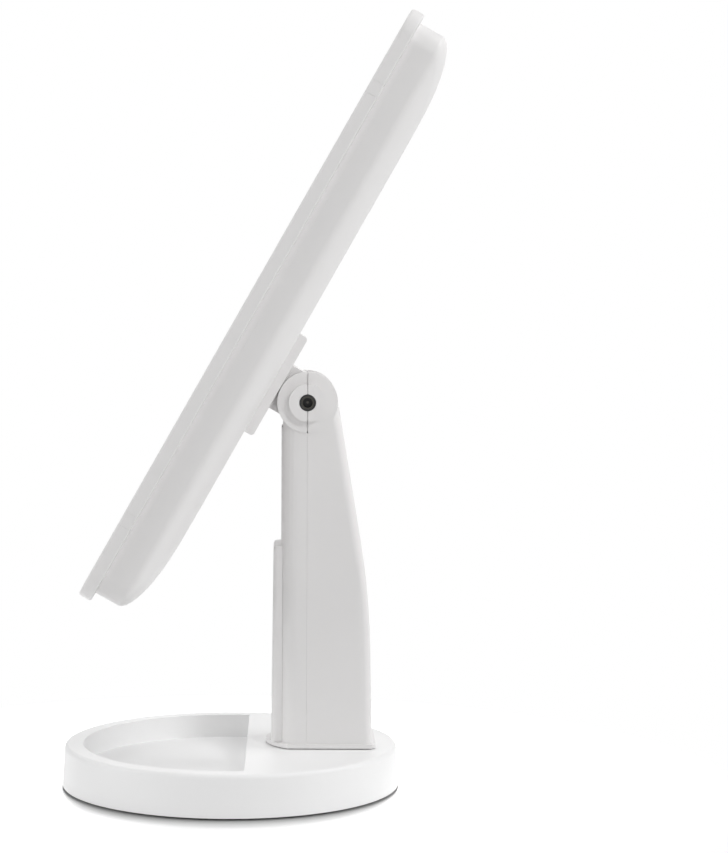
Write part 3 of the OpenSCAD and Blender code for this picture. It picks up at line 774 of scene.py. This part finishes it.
@dataclass(frozen=True)
class Repeat:
    """One unit set down at many spots by a tree of Geometry Nodes."""

    name: str
    unit: bpy.types.Object
    spots: Sequence[Vector]
    turn: Matrix
    sharp_deg: float = 35.0

    def build(self, material: bpy.types.Material) -> bpy.types.Object:
        """Makes the tree, runs it and keeps its mesh.

        Args:
            material: finish of every copy.

        Returns:
            One plain piece with all copies.
        """
        mesh = bpy.data.meshes.new(f"{self.name}_spots")
        mesh.from_pydata([tuple(spot) for spot in self.spots], [], [])
        piece = add_piece(self.name, mesh)
        modifier = piece.modifiers.new("repeat", "NODES")
        tree, sockets = self.make_tree()
        modifier.node_group = tree
        modifier[sockets["Unit"]] = self.unit
        modifier[sockets["Turn"]] = tuple(self.turn.to_euler())
        modifier[sockets["Finish"]] = material
        apply_modifiers(piece)
        bpy.data.objects.remove(self.unit)
        piece.data.shade_smooth()
        piece.data.set_sharp_from_angle(angle=math.radians(self.sharp_deg))
        return piece

    def make_tree(self) -> tuple[bpy.types.NodeTree, dict[str, str]]:
        """The tree, and the identifier of each of its named inputs."""
        tree = bpy.data.node_groups.new(f"{self.name}_repeat", "GeometryNodeTree")
        face = tree.interface
        face.new_socket("Geometry", in_out="INPUT", socket_type="NodeSocketGeometry")
        named = {
            name: face.new_socket(name, in_out="INPUT", socket_type=kind).identifier
            for name, kind in (
                ("Unit", "NodeSocketObject"),
                ("Turn", "NodeSocketRotation"),
                ("Finish", "NodeSocketMaterial"),
            )
        }
        face.new_socket("Geometry", in_out="OUTPUT", socket_type="NodeSocketGeometry")
        enter = tree.nodes.new("NodeGroupInput")
        unit = tree.nodes.new("GeometryNodeObjectInfo")
        place = tree.nodes.new("GeometryNodeInstanceOnPoints")
        solid = tree.nodes.new("GeometryNodeRealizeInstances")
        finish = tree.nodes.new("GeometryNodeSetMaterial")
        leave = tree.nodes.new("NodeGroupOutput")
        for source, target in (
            (enter.outputs["Unit"], unit.inputs["Object"]),
            (enter.outputs["Geometry"], place.inputs["Points"]),
            (unit.outputs["Geometry"], place.inputs["Instance"]),
            (enter.outputs["Turn"], place.inputs["Rotation"]),
            (place.outputs["Instances"], solid.inputs["Geometry"]),
            (solid.outputs["Geometry"], finish.inputs["Geometry"]),
            (enter.outputs["Finish"], finish.inputs["Material"]),
            (finish.outputs["Geometry"], leave.inputs["Geometry"]),
        ):
            tree.links.new(source, target)
        return tree, named


@dataclass(frozen=True)
class Screw:
    """A pan-head screw with a cross recess, head down at the origin, in mm."""

    head_r: float = 2.6
    head_h: float = 1.8
    shank_r: float = 1.4
    length: float = 10.0
    pitch: float = 1.0
    crown: float = 0.9
    crown_share: float = 0.55
    crown_steps: int = 5
    root_share: float = 0.8
    neck: float = 0.4
    tip: float = 0.8
    recess: tuple[float, float, float] = (2.9, 0.62, 1.9)

    def profile(self) -> list[tuple[float, float]]:
        """Radius and height of each corner from the head to the tip."""
        crown = min(self.crown, self.head_h * self.crown_share)
        corners = [(0.0, 0.0), (self.head_r * 0.55, 0.0)]
        for i in range(1, self.crown_steps + 1):
            angle = math.pi / 2 * i / self.crown_steps
            radius = self.head_r * (0.55 + 0.45 * math.sin(angle))
            corners.append((radius, crown * (1 - math.cos(angle))))
        root = self.shank_r * self.root_share
        corners += [(self.head_r, self.head_h), (root, self.head_h)]
        height = self.head_h + self.neck
        while height + self.pitch < self.length - self.tip:
            corners += [
                (root, height),
                (self.shank_r, height + self.pitch * 0.45),
                (root, height + self.pitch * 0.9),
            ]
            height += self.pitch
        corners += [(self.shank_r * 0.7, self.length - 0.6), (0.0, self.length)]
        return corners

    def build(self) -> bpy.types.Object:
        """Makes the unit."""
        body = lathe("screw_unit", self.profile(), 32)
        shape = bmesh.new()
        size = Vector(self.recess) * MM
        for turn in (0.0, math.pi / 2):
            block = bmesh.ops.create_cube(shape, size=1.0)["verts"]
            bmesh.ops.scale(shape, verts=block, vec=size)
            bmesh.ops.rotate(shape, verts=block, matrix=Matrix.Rotation(turn, 3, "Z"))
        mesh = bpy.data.meshes.new("recess")
        shape.to_mesh(mesh)
        shape.free()
        cutter = add_piece("recess", mesh)
        cut = body.modifiers.new("recess", "BOOLEAN")
        cut.operation = "DIFFERENCE"
        cut.solver = "EXACT"
        cut.use_self = True
        cut.object = cutter
        apply_modifiers(body)
        bpy.data.objects.remove(cutter)
        return body


@dataclass(frozen=True)
class Lens:
    """A domed pillar on a flange, dome down at the origin, in mm."""

    radius: float = 2.5
    height: float = 3.5
    flange_r: float = 3.5
    flange_t: float = 1.0
    dome: float = 0.55
    dome_steps: int = 6

    def build(self) -> bpy.types.Object:
        """Makes the unit."""
        profile = [(0.0, 0.0)]
        for i in range(1, self.dome_steps + 1):
            angle = math.pi / 2 * i / self.dome_steps
            rise = self.dome * (1 - math.cos(angle))
            profile.append((self.radius * math.sin(angle), rise))
        shoulder = self.height - self.flange_t
        profile += [
            (self.radius, shoulder),
            (self.flange_r, shoulder),
            (self.flange_r, self.height),
            (0.0, self.height),
        ]
        return lathe("lens_unit", profile, 32)


# ---------------------------------------------------------------- sub-assemblies


@dataclass
class Assembly:
    """Nodes of one body that are dressed together."""

    wardrobe: Wardrobe
    body: str = "stand"

    def hand_over(self, piece: bpy.types.Object, node: str, finish: Finish) -> None:
        """Lets a piece ride on this body in place of a solid.

        Args:
            piece: the finished piece.
            node: the solid that it replaces.
            finish: what it is made of.
        """
        self.wardrobe.dress(piece, finish)
        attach(piece, self.body)
        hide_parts(node)
        getattr(finish.value, "slot", "") or finish.value.name
        faces = len(piece.data.polygons)
        LOG.info("%s: %d faces, rides on %s", piece.name, faces, self.body)

    def skin(
        self,
        node: str,
        finish: Finish,
        rounding: Rounding,
        settle: Settle = Settle(),
    ) -> None:
        """Replaces a solid by its rounded skin.

        Args:
            node: the solid's name.
            finish: what it is made of.
            rounding: how its edges are broken.
            settle: where its corners go to meet a neighbour.
        """
        self.hand_over(rounded_piece(node, rounding, settle), node, finish)

    def screws(self, node: str, axis: Vector, head_h: float) -> None:
        """Replaces a node of plain screws by detailed ones.

        Args:
            node: the screws' node.
            axis: direction from head to tip.
            head_h: height of the heads in mm.
        """
        axis = axis.normalized()
        spots, length = [], 0.0
        for corners in islands(node):
            along = [corner.dot(axis) for corner in corners]
            across = [c - axis * c.dot(axis) for c in corners]
            centre = Vector(
                (min(values) + max(values)) / 2 for values in zip(*across)
            )
            spots.append(centre + axis * min(along))
            length = max(length, (max(along) - min(along)) / MM)
        turn = axis.to_track_quat("Z", "Y").to_matrix().to_4x4()
        unit = Screw(head_h=head_h, length=length).build()
        piece = Repeat(f"{node}_set", unit, spots, turn).build(
            self.wardrobe.get(Finish.STEEL)
        )
        self.hand_over(piece, node, Finish.STEEL)

    def keep(self, finish: Finish, *nodes: str) -> None:
        """Keeps solids as they are and gives them a finish."""
        for node in nodes:
            self.wardrobe.dress(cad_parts[node], finish)
            LOG.info("%s: kept, rides on %s", node, self.body)


@dataclass
class Stand(Assembly):
    """Base, post, cells, power socket and axle."""

    body: str = "stand"
    base_edge: Rounding = BaseRounding()
    post_edge: Rounding = PostRounding()
    rear_edge: Rounding = Rounding(0.35, 3)
    cover_head_h: float = 0.9
    head_h: float = 1.8

    def build(self) -> None:
        """Dresses every node of the stand."""
        # The base wears the white plastic painted lighter, as painted bounce light from the
        # floor.
        self.skin("base_shell", Finish.BASE_PAINTED_BOUNCE, self.base_edge)
        self.skin("column_front_shell", Finish.WHITE, self.post_edge)
        self.skin("column_rear_shell", Finish.WHITE, self.rear_edge)
        self.skin("base_bottom_cover", Finish.WHITE, Rounding(0.3, 2))
        self.skin("dc_jack", Finish.BLACK, Rounding(0.15, 2))
        self.screws("base_screws", Vector((0, 0, 1)), self.cover_head_h)
        self.screws("foot_screws", Vector((0, 0, 1)), self.head_h)
        self.screws("column_screws", Vector((-1, 0, 0)), self.head_h)
        self.keep(Finish.PAD, "non_slip_pad")
        self.keep(Finish.STEEL, "ballast_plate", "hinge_axle", "friction_washers")
        self.keep(Finish.INNER, "battery_cradle")
        self.keep(Finish.CELL, "battery_cells")
        self.keep(Finish.NICKEL, "battery_contacts", "battery_springs")
        # The jack's sleeve and contacts wear painted shade: nickel painted near black.
        self.keep(Finish.SLEEVE_PAINTED_SHADE, "jack_sleeve", "jack_contacts")


@dataclass
class Door(Assembly):
    """Battery door on the post's front."""

    body: str = "door"

    def build(self) -> None:
        """Dresses the door."""
        self.skin("battery_door", Finish.WHITE, Rounding(0.3, 2), DoorSettle())


@dataclass
class Panel(Assembly):
    """Casing, bezel, centre mirror, lights and the tilting bracket."""

    body: str = "panel"
    tilt: Tilt = Tilt()
    lens: Lens = Lens()
    edge: Rounding = JointRounding(0.2, 2, 35.0)
    rim_mm: float = 0.2
    head_h: float = 1.8

    def build(self) -> None:
        """Dresses every node of the panel."""
        self.skin("rear_casing", Finish.WHITE, self.edge, CasingSettle())
        self.skin("front_bezel", Finish.WHITE, self.edge, EarSettle())
        self.skin("hinge_bracket", Finish.WHITE, Rounding(0.3, 2))
        self.screws("bracket_screws", self.rearwards(), self.head_h)
        self.lenses()
        self.keep(Finish.STEEL, "wing_hinge_pins")
        self.keep(Finish.GLASS, "centre_mirror")
        self.keep(Finish.BOARD, "led_boards", "driver_board", "touch_sensor_board")
        self.keep(Finish.CHIP, "leds")

    def rearwards(self) -> Vector:
        """Direction from the panel's front to its back."""
        return self.tilt.matrix().to_3x3() @ Vector((0, 0, 1))

    def lenses(self) -> None:
        """Sets a domed lens at each lamp."""
        axis = self.rearwards()
        spots = []
        for corners in islands("led_lenses"):
            nearest = min(corner.dot(axis) for corner in corners)
            limit = nearest + self.rim_mm * MM
            rim = [c for c in corners if c.dot(axis) < limit]
            spots.append(sum(rim, Vector()) / len(rim))
        turn = axis.to_track_quat("Z", "Y").to_matrix().to_4x4()
        piece = Repeat("lens_set", self.lens.build(), spots, turn).build(
            self.wardrobe.get(Finish.LENS)
        )
        self.hand_over(piece, "led_lenses", Finish.LENS)


@dataclass
class Wing(Assembly):
    """One folding wing with its mirrors."""

    mirrors: tuple[str, ...] = ()

    def build(self) -> None:
        """Dresses the wing."""
        self.skin(f"{self.body}_frame", Finish.WHITE, WingRounding(), WingSettle())
        self.keep(Finish.GLASS, *self.mirrors)


# ---------------------------------------------------------------- studio


@dataclass(frozen=True)
class SoftLamp:
    """A square area lamp that looks at the mirror."""

    name: str
    place: tuple[float, float, float]
    size: float
    power: float
    target: tuple[float, float, float] = (0.0, 0.0, 0.12)

    def build(self) -> None:
        """Adds the lamp."""
        data = bpy.data.lights.new(self.name, "AREA")
        data.size = self.size
        data.energy = self.power
        lamp = bpy.data.objects.new(self.name, data)
        lamp.location = self.place
        look = Vector(self.target) - Vector(self.place)
        lamp.rotation_euler = look.to_track_quat("-Z", "Y").to_euler()
        bpy.context.scene.collection.objects.link(lamp)


@dataclass
class Studio:
    """Floor, lamps and camera.

    For rays that show the background, the floor is white and keeps the shadow
    that the mirror throws. It also has a contact shadow on the camera's side of
    the base, which ends shadow_reach from the base's edge. Everything beyond
    plain_to from the middle is plain white.
    """

    floor_size: float = 12.0
    floor_colour: float = 0.86
    floor_seen: float = 2.4
    base_r: float = 0.0655
    shadow_reach: float = 0.037
    shadow_least: float = 0.14
    shadow_narrow: float = 2.4
    plain_from: float = 0.1
    plain_to: float = 0.2
    sky_seen: float = 1.0
    sky_light: float = 0.3
    lamps: tuple[SoftLamp, ...] = (
        SoftLamp("top", (0.0, 0.1, 1.5), 1.4, 2.0),
        SoftLamp("left", (-1.5, -0.3, 0.7), 1.0, 9.0),
        SoftLamp("right", (1.5, -0.3, 0.7), 1.0, 2.9),
        SoftLamp("high_right", (1.2, 0.0, 1.2), 0.8, 8.6),
        SoftLamp("key", (0.8, -1.5, 1.0), 0.35, 6.8),
        SoftLamp("front_left", (-1.2, -1.0, 0.85), 0.5, 0.9),
        SoftLamp("back", (0.0, 1.8, 0.9), 1.0, 2.6),
    )
    eye: tuple[float, float, float] = (0.0222, -0.9, 0.1894)
    focal_px: float = 2297.0
    axis_px: tuple[float, float] = (289.0, 300.0)
    picture_px: tuple[int, int] = (728, 853)
    roll_deg: float = 0.2
    sensor: float = 36.0

    def build(self) -> None:
        """Makes all of the studio."""
        self.make_sky()
        self.make_floor()
        for lamp in self.lamps:
            lamp.build()
        self.make_camera()
        bpy.context.scene.view_settings.view_transform = "Standard"

    def make_sky(self) -> None:
        """White for the camera and for reflections, softer as light on the object."""
        world = bpy.data.worlds.new("sky")
        world.use_nodes = True
        graph = Graph.around(world.node_tree)
        seen = graph.background_seen()
        strength = self.sky_light + seen * (self.sky_seen - self.sky_light)
        sky = graph.node(
            "ShaderNodeBackground", {}, {"Color": (1.0, 1.0, 1.0), "Strength": strength}
        )
        graph.node("ShaderNodeOutputWorld", {}, {"Surface": sky.outputs[0]})
        bpy.context.scene.world = world

    def make_floor(self) -> None:
        """A wide white floor that keeps the mirror's shadow and turns plain further out."""
        shape = bmesh.new()
        bmesh.ops.create_grid(shape, x_segments=1, y_segments=1, size=self.floor_size / 2)
        mesh = bpy.data.meshes.new("floor")
        shape.to_mesh(mesh)
        shape.free()
        floor = add_piece("floor", mesh)
        graph = Graph("floor_white")
        seen = graph.background_seen()
        away = graph.node(
            "ShaderNodeVectorMath", {"operation": "LENGTH"}, {0: graph.object_place()}
        )
        radius = Wire(graph, away.outputs["Value"])
        place = graph.node("ShaderNodeSeparateXYZ", {}, {0: graph.object_place()})
        towards = (0.0 - Wire(graph, place.outputs["Y"])) / radius
        ahead = (towards + 0.0001).clamped().power(self.shadow_narrow)
        reach = ahead * self.shadow_reach + 0.00005
        out = ((radius - self.base_r) / reach).clamped()
        contact = self.shadow_least + out * (1.0 - self.shadow_least)
        level = self.floor_colour + seen * (contact * self.floor_seen - self.floor_colour)
        colour = graph.node(
            "ShaderNodeCombineColor", {"mode": "RGB"}, {0: level, 1: level, 2: level}
        )
        diffuse = graph.node("ShaderNodeBsdfDiffuse", {}, {"Color": colour.outputs[0]})
        plain = graph.node(
            "ShaderNodeEmission", {}, {"Color": (1.0, 1.0, 1.0), "Strength": 1.0}
        )
        spread = 1.0 / (self.plain_to - self.plain_from)
        far = ((radius - self.plain_from) * spread).clamped() * seen
        floor_shader = graph.node(
            "ShaderNodeMixShader", {}, {0: far, 1: diffuse.outputs[0], 2: plain.outputs[0]}
        )
        graph.node("ShaderNodeOutputMaterial", {}, {"Surface": floor_shader.outputs[0]})
        mesh.materials.append(graph.material)

    def make_camera(self) -> None:
        """A level camera that looks along +Y, shifted to the picture's frame."""
        data = bpy.data.cameras.new("camera")
        width, height = self.picture_px
        data.sensor_width = self.sensor
        data.lens = self.focal_px * self.sensor / height
        data.shift_x = (width / 2 - self.axis_px[0]) / height
        data.shift_y = (self.axis_px[1] - height / 2) / height
        data.clip_end = 50.0
        camera = bpy.data.objects.new("camera", data)
        turn = Matrix.Rotation(math.radians(90.0), 4, "X")
        roll = Matrix.Rotation(math.radians(self.roll_deg), 4, "Z")
        camera.matrix_world = Matrix.Translation(self.eye) @ turn @ roll
        bpy.context.scene.collection.objects.link(camera)
        bpy.context.scene.camera = camera


def main() -> None:
    """Builds the studio and every sub-assembly."""
    logging.basicConfig(level=logging.INFO, format="%(message)s")
    Studio().build()
    wardrobe = Wardrobe()
    for assembly in (
        Stand(wardrobe),
        Door(wardrobe),
        Panel(wardrobe),
        Wing(wardrobe, "left_wing", ("left_upper_mirror", "left_lower_mirror")),
        Wing(wardrobe, "right_wing", ("right_mirror",)),
    ):
        assembly.build()


if __name__ == "__main__":
    main()
